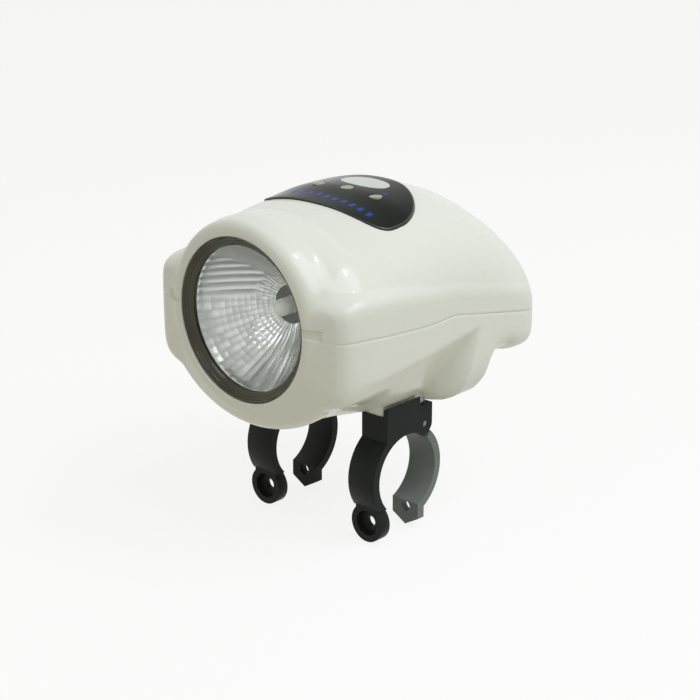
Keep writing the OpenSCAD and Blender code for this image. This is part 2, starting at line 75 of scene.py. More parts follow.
# profiles of the housing: station from the opening (0) to the tail (124) and share of the full size; the
# crease has its height in mm
HALF_WIDTH = [[0, .52], [2, .75], [4, .89], [7, .95], [11, .976], [20, .992],
              [60, 1], [90, 1], [104, .988], [114, .954], [124, .93]]
CREST = [[0, .32], [4, .48], [9, .66], [16, .83], [26, .913], [36, .937], [46, .961],
         [60, 1], [76, .995], [90, .899], [103, .72], [114, .502], [124, .386]]
BELLY = [[0, .7], [4, .94], [9, .99], [16, .985], [40, .975], [58, 1], [79, 1], [82.5, .96],
         [85, .82], [87, .72], [90, .65], [95, .63], [102, .7], [109, .71], [124, .72]]
SPLIT = [[0, 0], [10, 0], [30, .11], [50, .18], [62, .15], [72, .28], [85, .45], [124, 1]]
CREASE = [[0, -14], [8, -16.2], [20, -16.5], [45, -14], [65, -11], [80, -9]]
# tilt of the shoulder between the upright side and the roof, in degrees
SHOULDER = [[0, 16], [12, 15], [30, 14], [42, 12.5], [60, 8.5], [84, 7], [124, 7]]
# first and last station of the rounded tail
TAIL_START, TAIL_END = 107, 124
# exponent of the section on the upright sides
SIDE_POWER = 4.5
# roundness of the side crease, in square mm
CREASE_ROUND = 0.12
# depth and width in mm of the edge break along the joint, of the upper and of the lower shell
EDGE_BREAKS = {True: (0.34, 0.5), False: (0.14, 0.3)}
# locking tab beside the opening: height above the joint, outer end, depth along and across, all in mm
TAB_LOW, TAB_HIGH, TAB_END, TAB_DEPTH, TAB_SIDE = 0.5, 3.9, 38.6, 0.8, 0.3
# stations of the screw towers and of the cable gland; radii of tower, well, screw and gland in mm
TOWER_STATIONS, GLAND_STATION = (24, 88), 72
TOWER_R, WELL_R, SCREW_R, GLAND_R = 4.2, 3.1, 1.7, 4.1
# pads of the clamps: half sizes, exponent of the outline, middle behind the axis of the bar, in mm
PAD_X, PAD_Y, PAD_POWER, PAD_BACK = 5.1, 12.35, 9, 1.25
# bead of the panel's rim: distance from the outline, half width, height of its middle, half height, in mm
BEAD_INSET, BEAD_WIDE, BEAD_LIFT, BEAD_TALL = 0.5, 0.42, 0.36, 0.40
# blue bars of the panel: first and last place, number, distance in front of the lamps and slant
BAR_FIRST, BAR_LAST, BAR_COUNT, BAR_FRONT, BAR_SLANT = -17.5, 22.0, 10, 11.0, 0.05
# dark collar of the lamp: inner radius, start of its front face and outer radius, in mm
COLLAR_IN, COLLAR_FRONT, COLLAR_OUT = 3.35, 5.0, 7.0
# reflector: steps of the mesh across one facet, pitch of the ribs in mm, and the angles in radians
# between which it is calm, has long flutes and has ribs
FACET_STEPS, RIB_PITCH = 11, 3.1
CALM, LONG, RIBBED = (0.35, 2.1), (4.6, 6.0), (2.3, 2.95)
# distance in metres below which the points of a mesh are welded
WELD_GAP = 2e-6
# point that the lights look at, and gap between the clamps' feet and the floor, in metres
LIGHT_AIM, FLOOR_GAP = (0.0, 0.0, 0.06), 0.0004


# Properties ------------------------------------------------------------------------------------

def length(name, text, default):
    """A length property in metres."""
    return FloatProperty(name=name, description=text, default=default, unit="LENGTH", precision=5)


def tint(name, text, default):
    """A colour property."""
    return FloatVectorProperty(name=name, description=text, default=default, subtype="COLOR", size=3,
                               min=0.0, max=1.0)


class HousingSizes(bpy.types.PropertyGroup):
    """Sizes of the two shells."""
    body: length("Length", "Length of the housing from the opening to the tail", 0.124)
    width: length("Width", "Greatest width of the housing", 0.0996)
    crest: length("Crest", "Height of the crest above the lens axis", 0.0381)
    belly: length("Belly", "Depth of the belly below the lens axis", 0.041)
    drop: length("Joint drop", "Drop of the shell joint at the tail", 0.0145)
    wall: length("Wall", "Wall thickness of both shells", 0.0022)
    scoop: FloatProperty(name="Scoop", description="Depth of the side scoop below its crease",
                         default=0.53, subtype="FACTOR")
    rim: length("Rim radius", "Radius of the round front opening", 0.03115)
    nose_width: length("Lip width", "Radial width of the rounded front lip", 0.0073)
    nose_length: length("Lip length", "Length of the rounded front lip", 0.009)
    nose_drop: length("Lip drop", "Drop of the front lip behind the opening", 0.0016)
    lip: length("Lip thickness", "Thickness of the lip in front of the bezel", 0.0042)
    tower_x: length("Tower place", "Distance of the screw towers from the middle", 0.024)


class LampSizes(bpy.types.PropertyGroup):
    """Sizes of the bezel and the reflector."""
    lens: length("Lens radius", "Radius of the clear lens", 0.0289)
    lens_thickness: length("Lens thickness", "Thickness of the clear lens", 0.0018)
    focus: length("Focus", "Focal length of the reflector bowl", 0.0089)
    hole: length("Lamp hole", "Radius of the hole for the lamp", 0.005)
    sink: length("Hub radius", "Radius of the hub behind the bowl", 0.0155)
    chip: length("Lamp board", "Radius of the lamp board in the hub", 0.0106)
    flutes: IntProperty(name="Flutes", description="Number of flutes around the bowl", default=48)
    rings: IntProperty(name="Rings", description="Number of facet rings across the bowl", default=14)
    pillow: length("Pillow", "Height of one facet of the bowl", 0.00019)


class PanelSizes(bpy.types.PropertyGroup):
    """Sizes of the display panel and its marks."""
    half: length("Half width", "Half width of the panel", 0.032)
    front: length("Front", "Reach of the panel in front of its widest line", 0.0135)
    rear: length("Rear", "Reach of the panel behind its widest line", 0.0265)
    centre: length("Place", "Distance of the widest line behind the opening", 0.053)
    thickness: length("Thickness", "Height of the panel above the shell", 0.0007)
    edge: length("Edge", "Width of the rounded edge", 0.0012)
    pitch: length("Lamp pitch", "Spacing of the indicator lamps", 0.0144)
    row: length("Lamp row", "Distance of the indicator lamps behind the opening", 0.0575)
    lamp: length("Lamp radius", "Radius of the holes for the lamps", 0.0026)


class Finishes(bpy.types.PropertyGroup):
    """Colours of the finishes."""
    ivory: tint("Ivory", "Moulded housing", (0.80, 0.81, 0.76))
    panel: tint("Panel", "Glossy display panel", (0.012, 0.016, 0.012))
    bezel: tint("Bezel", "Dark ring around the lens", (0.058, 0.055, 0.028))
    silver: tint("Silver", "Metallised reflector", (0.50, 0.515, 0.475))
    phosphor: tint("Lamp", "Resin of the lamp", (0.88, 0.87, 0.72))
    cream: tint("Indicator", "Diffused resin of the indicator lamps", (0.36, 0.335, 0.27))
    clamp: tint("Clamps", "Satin black of the clamps", (0.017, 0.019, 0.019))
    jaw: tint("Grey jaw", "Satin grey of the near jaw", (0.20, 0.22, 0.225))
    blue: tint("Blue print", "Printed marks on the panel", (0.008, 0.05, 0.32))
    badge: tint("Badge", "Plain oval badge on the panel", (0.56, 0.62, 0.57))


class StageSettings(bpy.types.PropertyGroup):
    """Camera and light."""
    azimuth: FloatProperty(name="Azimuth", description="Camera angle round the light", default=42.6)
    elevation: FloatProperty(name="Elevation", description="Camera angle above the horizon", default=19.2)
    distance: length("Distance", "Distance of the camera from its target", 0.760)
    focal: FloatProperty(name="Focal length", description="Focal length in mm", default=104.14)
    target: FloatVectorProperty(name="Target", description="Point that the camera looks at",
                                default=(0.013, -0.010, 0.0475), subtype="TRANSLATION", unit="LENGTH")
    key: FloatProperty(name="Key light", description="Power of the large soft light", default=7.6)
    world: FloatProperty(name="Room light", description="Strength of the room light", default=0.38)


# Curves and surfaces ---------------------------------------------------------------------------

def ease(a, b, x):
    """Smooth step from 0 at a to 1 at b: t*t*(3 - 2 t)."""
    t = np.clip((x - a) / (b - a), 0, 1)
    return t * t * (3 - 2 * t)


def window(x, low, high, soft):
    """1 between low and high, falling to 0 over soft on both sides."""
    return ease(low - soft, low, x) * (1 - ease(high, high + soft, x))


def curve(table, s):
    """Monotone cubic through the rows of a table: Hermite pieces with harmonic-mean slopes."""
    x, y = np.array(table, float).T
    rise = np.diff(y) / np.diff(x)
    product = rise[:-1] * rise[1:]
    total = np.where(product > 0, rise[:-1] + rise[1:], 1)
    slope = np.concatenate([rise[:1], np.where(product > 0, 2 * product / total, 0), rise[-1:]])
    s = np.clip(s, x[0], x[-1])
    i = np.clip(np.searchsorted(x, s, "right") - 1, 0, len(x) - 2)
    w = x[i + 1] - x[i]
    t = (s - x[i]) / w
    return (y[i] * (2 * t**3 - 3 * t**2 + 1) + slope[i] * w * (t**3 - 2 * t**2 + t)
            + y[i + 1] * (3 * t**2 - 2 * t**3) + slope[i + 1] * w * (t**3 - t**2))


def in_mm(group, *names):
    """The named lengths of a property group, in millimetres."""
    return [getattr(group, n) / MM for n in names]


def station(y):
    """Station of a point y mm behind the opening: the profiles spread over the housing's length."""
    return TAIL_END * y * MM / bpy.context.scene.headlight_housing.body


def joint_height(s):
    """Height of the joint between the shells: the drop at the tail times the split profile."""
    return -bpy.context.scene.headlight_housing.drop / MM * curve(SPLIT, s)


def tail(s):
    """Closing of the tail: (1 - t^2.6)^(1/2.6) over its rounded stations."""
    t = np.clip((s - TAIL_START) / (TAIL_END - TAIL_START), 0, 0.999)
    return (1 - t**2.6)**(1 / 2.6)


def roof_power(s):
    """Exponent of the section over the roof."""
    return 2.1 + 0.25 * ease(20, 45, s) - 0.25 * ease(80, 105, s)


def floor_power(s):
    """Exponent of the section under the belly."""
    return 2.15 + 3.6 * ease(14, 48, s) - 0.6 * ease(60, 100, s)


def section_power(s, phi):
    """Exponent at the angle phi: steep on the upright sides, eased into the roof and into the belly."""
    tilt = np.degrees(np.arcsin(np.minimum(1, np.abs(np.sin(phi)))))
    roof_n, floor_n, turn = roof_power(s), floor_power(s), curve(SHOULDER, s)
    upper = roof_n + (SIDE_POWER - roof_n) * (1 - ease(turn - 7, turn + 7, tilt)) * (1 - ease(96, 118, s))
    lower = floor_n + np.maximum(0, SIDE_POWER - floor_n) * (1 - ease(16, 38, tilt))
    return np.where(np.sin(phi) >= 0, upper, lower)


def scoop_share(s, z):
    """Share by which the side is pulled in at the height z below the rounded crease, up to a rear edge that
    leans forward with the depth."""
    below = curve(CREASE, s) - z
    below = (below + np.sqrt(below**2 + CREASE_ROUND)) / 2
    depth = np.minimum(0.4, bpy.context.scene.headlight_housing.scoop * below / 50)
    return depth * ease(1, 5.5, 80 + 0.36 * (z + 9) - s) * ease(4, 34, s)


def skin(s, phi, inset):
    """Point of the housing at station s and angle phi, moved inward by inset: a superellipse around the
    joint, blended in front into a round barrel by a 16th-power mean and pulled in below the side crease."""
    h = bpy.context.scene.headlight_housing
    width, crest, belly, rim, nose_w, nose_l, nose_d = in_mm(
        h, "width", "crest", "belly", "rim", "nose_width", "nose_length", "nose_drop")
    s, phi = np.broadcast_arrays(s, phi)
    joint, close = joint_height(s), tail(s)
    half = (width / 2 * curve(HALF_WIDTH, s) - inset) * close
    top = (crest * curve(CREST, s) - joint - inset) * close
    low = (belly * curve(BELLY, s) + joint - inset) * close
    c, w = np.cos(phi), np.sin(phi)
    p = section_power(s, phi)
    r = ((np.abs(c) / half)**p + (np.abs(w) / np.where(w >= 0, top, low))**p)**(-1 / p)
    t = np.maximum(0, 1 - s / nose_l)
    barrel = rim + 0.65 + nose_w * np.sqrt(1 - t * t) - inset - nose_d * ease(0, 7, s) * w
    barrel = barrel * (1 - ease(20, 40, s))
    r = np.where(s < 40, (np.maximum(barrel, 0)**16 + r**16)**(1 / 16), r)
    z = joint * ease(0, 12, s) + r * w
    y = (s - 0.7 * ease(121, TAIL_END, s)) * h.body / MM / TAIL_END - inset * ease(60, 90, s)
    return np.stack([r * c * (1 - scoop_share(s, z) * (w < 0)), y, z], -1)


def roof(x, y):
    """Height of the outer skin over a point of the roof: joint + top*(1 - |x/half|^p)^(1/p)."""
    h, s = bpy.context.scene.headlight_housing, station(y)
    joint, p = joint_height(s), roof_power(s)
    half = h.width / 2 / MM * curve(HALF_WIDTH, s)
    top = h.crest / MM * curve(CREST, s) - joint
    return joint + top * np.clip(1 - (np.abs(x) / half)**p, 0, 1)**(1 / p)


def floor_height(x, y):
    """Height of the outer skin over a point of the belly: joint - low*(1 - |x/half|^p)^(1/p)."""
    h, s = bpy.context.scene.headlight_housing, station(y)
    joint, p = joint_height(s), floor_power(s)
    half = h.width / 2 / MM * curve(HALF_WIDTH, s) * (1 - scoop_share(s, -0.93 * h.belly / MM))
    low = h.belly / MM * curve(BELLY, s) + joint
    return joint - low * np.clip(1 - (np.abs(x) / half)**p, 0, 1)**(1 / p)


def half_shell(start, near, step, wide):
    """Closed grid of one shell over half a turn from the angle start: for each station the outer skin, the
    joint faces and the inner skin form one loop. The outer skin has a fine edge break along the joint.
    Angles from the joint are spaced by step up to near and by wide beyond it."""
    h = bpy.context.scene.headlight_housing
    wall, rim, nose_l, lip = in_mm(h, "wall", "rim", "nose_length", "lip")
    s = np.concatenate([
        nose_l * (1 - np.cos(np.linspace(0, math.pi / 2, 34))), np.arange(9.8, 20, 0.8),
        np.arange(20, 78, 1.0), np.arange(78, 92, 0.4), np.arange(92, TAIL_START, 0.75),
        TAIL_END - (TAIL_END - TAIL_START) * (1 - np.sin(np.linspace(0, math.pi / 2 * 0.985, 28)))])
    s = s[:, None]
    edge = np.concatenate([[0, 0.12, 0.25, 0.4], np.arange(0.65, 8, 0.35)])
    side = np.concatenate([edge, np.arange(8, near, step), np.arange(near, 90, wide)])
    phi = np.radians(start + np.concatenate([side, [90], 180 - side[::-1]]))[None, :]
    outer = skin(s, phi, 0.0)
    off = np.abs(outer[..., 2] - joint_height(s) * ease(0, 12, s))
    upper = start == 0
    deep, broad = EDGE_BREAKS[upper]
    groove = deep * np.exp(-(off / broad)**2)
    turn = np.cos(phi)
    outer[..., 0] -= np.sign(turn) * groove * (np.abs(turn) > 0.5)
    outer[..., 1] -= groove * ease(112, 122, s)
    if upper:
        # shallow recess of the locking tab beside the opening
        tab = (window(outer[..., 2], TAB_LOW, TAB_HIGH, 0.15)
               * window(np.abs(outer[..., 0]), rim + 0.5, TAB_END, 0.2) * (s < 9))
        outer[..., 1] += TAB_DEPTH * tab
        outer[..., 0] -= np.sign(turn) * TAB_SIDE * tab
    inner = skin(s, phi, wall)
    # lip of the opening: back along the rim, out to the flange seat, then the inner skin
    ring = np.stack([np.cos(phi[0]), np.zeros(phi.size), np.sin(phi[0])], -1)
    lip_end = 3.2
    front = s[:, 0] < lip_end
    join = skin(np.array([[lip_end]]), phi, wall)[0]
    corner = [rim * ring + [0, 0.35, 0], rim * ring + [0, lip, 0],
              (rim + 3.05) * ring + [0, lip, 0], join]
    part = np.clip(s[front, 0] / lip_end, 0, 1) * (len(corner) - 1)
    cell = np.minimum(part.astype(int), len(corner) - 2)
    share = (part - cell)[:, None, None]
    stack = np.stack(corner)
    inner[front] = stack[cell] * (1 - share) + stack[cell + 1] * share
    first = ((rim + 0.3) * ring)[None]
    last_out = np.broadcast_to([0, outer[-1, 0, 1] + 0.01, joint_height(float(TAIL_END))], outer[:1].shape)
    last_in = last_out - [0, wall, 0]
    outer = np.concatenate([first, outer, last_out])
    inner = np.concatenate([first, inner, last_in])
    return np.concatenate([outer, inner[:, ::-1]], 1)


def turned(profile, count, axis="Y", centre=(0, 0, 0)):
    """Profile of (radius, depth) rows turned round an axis: radius*(cos a, sin a), the depth along it."""
    a = np.linspace(0, 2 * math.pi, count, endpoint=False)[None, :]
    r, d = np.array(profile, float).T[:, :, None]
    flat = [r * np.cos(a), np.broadcast_to(d, (len(profile), count)), r * np.sin(a)]
    if axis == "Z":
        flat = [flat[0], flat[2], flat[1]]
    return np.stack(flat, -1) + np.array(centre, float)


def smooth_profile(points, count, soft):
    """Outline through the points with each corner rounded by a quadratic Bezier cut, soft wide."""
    p = np.array(points, float)
    before, after = p[:-2] - p[1:-1], p[2:] - p[1:-1]
    cut_a = np.minimum(soft / np.linalg.norm(before, axis=1), 0.45)[:, None]
    cut_b = np.minimum(soft / np.linalg.norm(after, axis=1), 0.45)[:, None]
    t = np.linspace(0, 1, count)[None, :, None]
    a, b, c = p[1:-1] + before * cut_a, p[1:-1], p[1:-1] + after * cut_b
    arcs = a[:, None] * (1 - t)**2 + 2 * b[:, None] * t * (1 - t) + c[:, None] * t**2
    return np.concatenate([p[:1], arcs.reshape(-1, 2), p[-1:]])


def panel_reach(a):
    """Outline of the panel round its widest line: a superellipse, blunt in front and drawn out behind."""
    z = bpy.context.scene.headlight_panel
    half, front, rear = in_mm(z, "half", "front", "rear")
    p, reach = np.where(np.sin(a) < 0, 4.2, 1.75), np.where(np.sin(a) < 0, front, rear)
    return ((np.abs(np.cos(a)) / half)**p + (np.abs(np.sin(a)) / reach)**p)**(-1 / p)


def panel_top(x, y):
    """Height of the flat of the panel: the roof plus the panel's thickness."""
    return roof(x, y) + bpy.context.scene.headlight_panel.thickness / MM


def panel_patch(x, y, half_x, half_y, power, lift, sink, count, rows):
    """Closed thin patch on the panel: a superellipse of the given half sizes, its top lift above the panel
    and its underside sink below, both following the roof."""
    a = np.linspace(0, 2 * math.pi, count, endpoint=False)[None, :]
    rho = np.concatenate([np.linspace(0, 0.9, rows), [0.97, 1.0]])[:, None]
    reach = ((np.abs(np.cos(a)) / half_x)**power + (np.abs(np.sin(a)) / half_y)**power)**(-1 / power)
    px, py = x + rho * reach * np.cos(a), y + rho * reach * np.sin(a)
    rise = np.where(rho < 0.98, lift, lift * 0.3)
    top = np.stack([px, py, panel_top(px, py) + rise], -1)
    under = np.stack([px, py, panel_top(px, py) - sink], -1)
    return np.concatenate([top, under[::-1]])


def clamp_pads():
    """Rounded pads under the belly that carry the clamp brackets: stacked superellipse outlines."""
    pads = []
    bottom = (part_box("lower_shell")[0].z - OPENING[2]) / MM
    for side in ("left", "right"):
        low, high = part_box("jaw_pin_" + side)
        pin = (low.x + high.x) / 2 / MM
        x, y = pin - math.copysign(1.0, pin), PAD_BACK - OPENING[1] / MM
        a = np.linspace(0, 2 * math.pi, 96, endpoint=False)[None, :]
        reach = ((np.abs(np.cos(a)) / PAD_X)**PAD_POWER
                 + (np.abs(np.sin(a)) / PAD_Y)**PAD_POWER)**(-1 / PAD_POWER)
        level = np.array([0, 0, 0.15, 0.5, 1.0, 5.2, 5.2])[:, None]
        size = np.array([0, 0.955, 0.985, 0.997, 1, 1, 0])[:, None]
        pads.append(np.stack([x + size * reach * np.cos(a), y + size * reach * np.sin(a),
                              np.broadcast_to(bottom + level, (7, 96))], -1))
    return pads


# Meshes ----------------------------------------------------------------------------------------

def grid_faces(rows, columns, start):
    """Quads of a grid whose columns close on themselves."""
    i, j = np.arange(rows - 1)[:, None], np.arange(columns)[None, :]
    k = (j + 1) % columns
    quad = np.stack([i * columns + j, i * columns + k, (i + 1) * columns + k, (i + 1) * columns + j], -1)
    return quad.reshape(-1, 4) + start


def mesh_of(name, grids, turn=40, painted_reflections=None):
    """Mesh of one or more closed grids, welded at poles and seams, with edges sharper than turn kept.
    painted_reflections gives each face its value of the attribute facet: a painted reflection brightness."""
    points = np.concatenate([g.reshape(-1, 3) for g in grids]) * MM + OPENING
    starts = np.cumsum([0] + [g.shape[0] * g.shape[1] for g in grids])
    faces = np.concatenate([grid_faces(g.shape[0], g.shape[1], n) for g, n in zip(grids, starts)])
    mesh = bpy.data.meshes.new(name)
    mesh.from_pydata(points.tolist(), [], faces.tolist())
    if painted_reflections is not None:
        facet = mesh.attributes.new("facet", "FLOAT", "FACE")
        facet.data.foreach_set("value", painted_reflections.astype(np.float32).ravel())
    work = bmesh.new()
    work.from_mesh(mesh)
    bmesh.ops.remove_doubles(work, verts=work.verts, dist=WELD_GAP)
    bmesh.ops.dissolve_degenerate(work, edges=work.edges, dist=1e-7)
    bmesh.ops.recalc_face_normals(work, faces=work.faces)
    work.to_mesh(mesh)
    work.free()
    finish_edges(mesh, turn)
    return mesh


def finish_edges(mesh, turn):
    """Smooth shading, broken at edges sharper than turn degrees."""
    mesh.polygons.foreach_set("use_smooth", np.ones(len(mesh.polygons), bool))
    mesh.set_sharp_from_angle(angle=math.radians(turn))
    mesh.update()


def put(name, mesh):
    """A new object at the origin that carries the mesh."""
    piece = bpy.data.objects.new(name, mesh)
    bpy.context.scene.collection.objects.link(piece)
    return piece


def carve(piece, steps, turn=40):
    """Adds and cuts solids: steps are (operation, grids), applied to the piece's mesh in order."""
    tools = []
    for operation, grids in steps:
        tool = put(piece.name + "_tool", mesh_of(piece.name + "_tool", grids))
        cut = piece.modifiers.new(operation, "BOOLEAN")
        cut.operation, cut.object, cut.solver = operation, tool, "MANIFOLD"
        tools.append(tool)
    bpy.context.view_layer.update()
    result = piece.evaluated_get(bpy.context.evaluated_depsgraph_get())
    mesh = bpy.data.meshes.new_from_object(result)
    piece.modifiers.clear()
    old, piece.data = piece.data, mesh
    for tool in tools:
        data = tool.data
        bpy.data.objects.remove(tool)
        bpy.data.meshes.remove(data)
    bpy.data.meshes.remove(old)
    mesh.name = piece.name
    finish_edges(mesh, turn)


def dress(piece, material, body="housing", stands_for=()):
    """Gives a new piece its material and its body, and hides the nodes it stands for."""
    piece.data.materials.clear()
    piece.data.materials.append(material)
    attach(piece, body)
    if stands_for:
        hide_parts(*stands_for)


def coat_nodes(material, *nodes):
    """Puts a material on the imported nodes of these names."""
    for name in nodes:
        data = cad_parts[name].data
        data.materials.clear()
        data.materials.append(material)


# Finishes and lights ---------------------------------------------------------------------------

def add_node(tree, kind, values=(), **settings):
    """A shader node with its settings and its sockets' own values."""
    made = tree.nodes.new(kind)
    for key, value in settings.items():
        setattr(made, key, value)
    for key, value in dict(values).items():
        made.inputs[key].default_value = value
    return made


def new_group(name, inputs, outputs):
    """A shader node group with named float or colour sockets."""
    tree = bpy.data.node_groups.new(name, "ShaderNodeTree")
    kinds = {"value": "NodeSocketFloat", "colour": "NodeSocketColor"}
    for label, kind, default in inputs:
        socket = tree.interface.new_socket(name=label, in_out="INPUT", socket_type=kinds[kind])
        socket.default_value = default
    for label, kind in outputs:
        tree.interface.new_socket(name=label, in_out="OUTPUT", socket_type=kinds[kind])
    return tree, tree.nodes.new("NodeGroupInput"), tree.nodes.new("NodeGroupOutput")


def moulded_surface_group():
    """Grain, slow mottle and fine scuffs of a moulded surface, from noises on Object coordinates."""
    found = bpy.data.node_groups.get("Moulded surface")
    if found:
        return found
    tree, into, out = new_group(
        "Moulded surface",
        [("Grain", "value", 4000.0), ("Mottle", "value", 60.0), ("Scuff", "value", 220.0)],
        [("Height", "value"), ("Mottle", "value"), ("Scuffs", "value")])
    link = tree.links.new
    where = add_node(tree, "ShaderNodeTexCoord")
    grain = add_node(tree, "ShaderNodeTexNoise", {"Detail": 3.0, "Roughness": 0.55})
    slow = add_node(tree, "ShaderNodeTexNoise", {"Detail": 4.0, "Roughness": 0.5})
    stretch = add_node(tree, "ShaderNodeMapping", {"Rotation": (0.3, 0.5, 0.9), "Scale": (1.0, 9.0, 2.0)})
    scuff = add_node(tree, "ShaderNodeTexNoise", {"Detail": 5.0, "Roughness": 0.65, "Distortion": 0.4})
    keep = add_node(tree, "ShaderNodeMapRange", {"From Min": 0.56, "From Max": 0.74}, clamp=True)
    place, drawn = where.outputs["Object"], stretch.outputs["Vector"]
    for noise, socket, vector in ((grain, "Grain", place), (slow, "Mottle", place),
                                  (scuff, "Scuff", drawn)):
        link(vector, noise.inputs["Vector"])
        link(into.outputs[socket], noise.inputs["Scale"])
    link(place, stretch.inputs["Vector"])
    link(scuff.outputs["Fac"], keep.inputs["Value"])
    link(grain.outputs["Fac"], out.inputs["Height"])
    link(slow.outputs["Fac"], out.inputs["Mottle"])
    link(keep.outputs["Result"], out.inputs["Scuffs"])
    return tree


def tone_group():
    """Colour made a little lighter and darker by a mask: value times 1 + Amount*(2 Mask - 1)."""
    found = bpy.data.node_groups.get("Tone")
    if found:
        return found
    tree, into, out = new_group(
        "Tone", [("Colour", "colour", (1, 1, 1, 1)), ("Mask", "value", 0.5), ("Amount", "value", 0.05)],
        [("Colour", "colour")])
    link = tree.links.new
    swing = add_node(tree, "ShaderNodeMath", operation="MULTIPLY_ADD")
    swing.inputs[1].default_value, swing.inputs[2].default_value = 2.0, -1.0
    level = add_node(tree, "ShaderNodeMath", operation="MULTIPLY_ADD")
    level.inputs[2].default_value = 1.0
    shade = add_node(tree, "ShaderNodeHueSaturation")
    link(into.outputs["Mask"], swing.inputs[0])
    link(swing.outputs[0], level.inputs[0])
    link(into.outputs["Amount"], level.inputs[1])
    link(level.outputs[0], shade.inputs["Value"])
    link(into.outputs["Colour"], shade.inputs["Color"])
    link(shade.outputs["Color"], out.inputs["Colour"])
    return tree


def finish(name, colour, rough, grain=4000.0, mottle=60.0, scuff=220.0, tone=0.03, bump=0.05,
           depth=0.02, plain=()):
    """A material whose colour drifts with the mottle, whose roughness runs from rough[0] to rough[1] with
    the scuffs and mottle, and whose normal carries the grain (depth in mm). plain sets sockets directly."""
    material = bpy.data.materials.new(name)
    material.use_nodes = True
    material.diffuse_color = (*colour, 1.0)
    tree = material.node_tree
    link = tree.links.new
    shader = tree.nodes["Principled BSDF"]
    for socket, value in dict(plain).items():
        shader.inputs[socket].default_value = value
    surface = add_node(tree, "ShaderNodeGroup", node_tree=moulded_surface_group())
    for socket, value in (("Grain", grain), ("Mottle", mottle), ("Scuff", scuff)):
        surface.inputs[socket].default_value = value
    shift = add_node(tree, "ShaderNodeGroup", node_tree=tone_group(), name="Tone")
    shift.inputs["Colour"].default_value = (*colour, 1.0)
    shift.inputs["Amount"].default_value = tone
    link(surface.outputs["Mottle"], shift.inputs["Mask"])
    link(shift.outputs["Colour"], shader.inputs["Base Color"])
    mix = add_node(tree, "ShaderNodeMath", operation="MULTIPLY_ADD")
    mix.inputs[1].default_value = 0.35
    link(surface.outputs["Mottle"], mix.inputs[0])
    link(surface.outputs["Scuffs"], mix.inputs[2])
    level = add_node(tree, "ShaderNodeMapRange",
                     {"From Min": 0.1, "From Max": 1.2, "To Min": rough[0], "To Max": rough[1]})
    link(mix.outputs[0], level.inputs["Value"])
    link(level.outputs["Result"], shader.inputs["Roughness"])
    relief = add_node(tree, "ShaderNodeBump", {"Strength": bump, "Distance": depth * MM})
    link(surface.outputs["Height"], relief.inputs["Height"])
    link(relief.outputs["Normal"], shader.inputs["Normal"])
    return material


def colours():
    """The finish colours of the scene."""
    return bpy.context.scene.headlight_finishes


def ivory_finish():
    """Glossy moulded ivory of both shells."""
    found = bpy.data.materials.get("ivory_gloss")
    return found or finish("ivory_gloss", tuple(colours().ivory), (0.27, 0.33), grain=900.0, mottle=22.0,
                           tone=0.008, bump=0.06, depth=0.05,
                           plain={"Coat Weight": 0.35, "Coat Roughness": 0.04, "Specular IOR Level": 0.1})


def clear_finish():
    """Clear moulded lens with faint smears."""
    return finish("lens_clear", (0.97, 0.985, 0.98), (0.0, 0.03), grain=600.0, mottle=70.0, tone=0.01,
                  bump=0.01, depth=0.01, plain={"Transmission Weight": 1.0, "IOR": 1.45})


def seen_rays(tree):
    """1 for the rays of the camera, of reflections and of glass, which see the background; else 0."""
    path = add_node(tree, "ShaderNodeLightPath")
    first = add_node(tree, "ShaderNodeMath", operation="MAXIMUM")
    both = add_node(tree, "ShaderNodeMath", operation="MAXIMUM")
    tree.links.new(path.outputs["Is Camera Ray"], first.inputs[0])
    tree.links.new(path.outputs["Is Glossy Ray"], first.inputs[1])
    tree.links.new(first.outputs[0], both.inputs[0])
    tree.links.new(path.outputs["Is Transmission Ray"], both.inputs[1])
    return both.outputs[0]


def backdrop_finish(name, colour, share):
    """Pale floor that the camera sees as a share of plain white over white paint, which keeps the object's
    shadow. Light that the floor throws back has the floor's own colour."""
    material = bpy.data.materials.new(name)
    material.use_nodes = True
    tree = material.node_tree
    shader = tree.nodes["Principled BSDF"]
    shader.inputs["Base Color"].default_value = (*colour, 1.0)
    shader.inputs["Roughness"].default_value = 0.9
    shader.inputs["Specular IOR Level"].default_value = 0.0
    glow = add_node(tree, "ShaderNodeEmission", {"Color": (1, 1, 1, 1), "Strength": 1.0})
    paint = add_node(tree, "ShaderNodeBsdfDiffuse", {"Color": (0.95, 0.95, 0.95, 1.0)})
    pale = add_node(tree, "ShaderNodeMixShader", {"Fac": share})
    mixed = add_node(tree, "ShaderNodeMixShader")
    tree.links.new(paint.outputs[0], pale.inputs[1])
    tree.links.new(glow.outputs[0], pale.inputs[2])
    tree.links.new(seen_rays(tree), mixed.inputs["Fac"])
    tree.links.new(shader.outputs[0], mixed.inputs[1])
    tree.links.new(pale.outputs[0], mixed.inputs[2])
    tree.links.new(mixed.outputs[0], tree.nodes["Material Output"].inputs["Surface"])
    return material


def soft_light(name, place, size, power):
    """A rectangular soft light that looks at the part."""
    data = bpy.data.lights.new(name, "AREA")
    data.shape, data.size, data.size_y, data.energy = "RECTANGLE", size[0], size[1], power
    data.color = (0.875, 0.92, 1.0)
    lamp = bpy.data.objects.new(name, data)
    lamp.location = place
    lamp.rotation_mode = "QUATERNION"
    lamp.rotation_quaternion = (Vector(LIGHT_AIM) - Vector(place)).to_track_quat("-Z", "Y")
    bpy.context.scene.collection.objects.link(lamp)


# Operators -------------------------------------------------------------------------------------

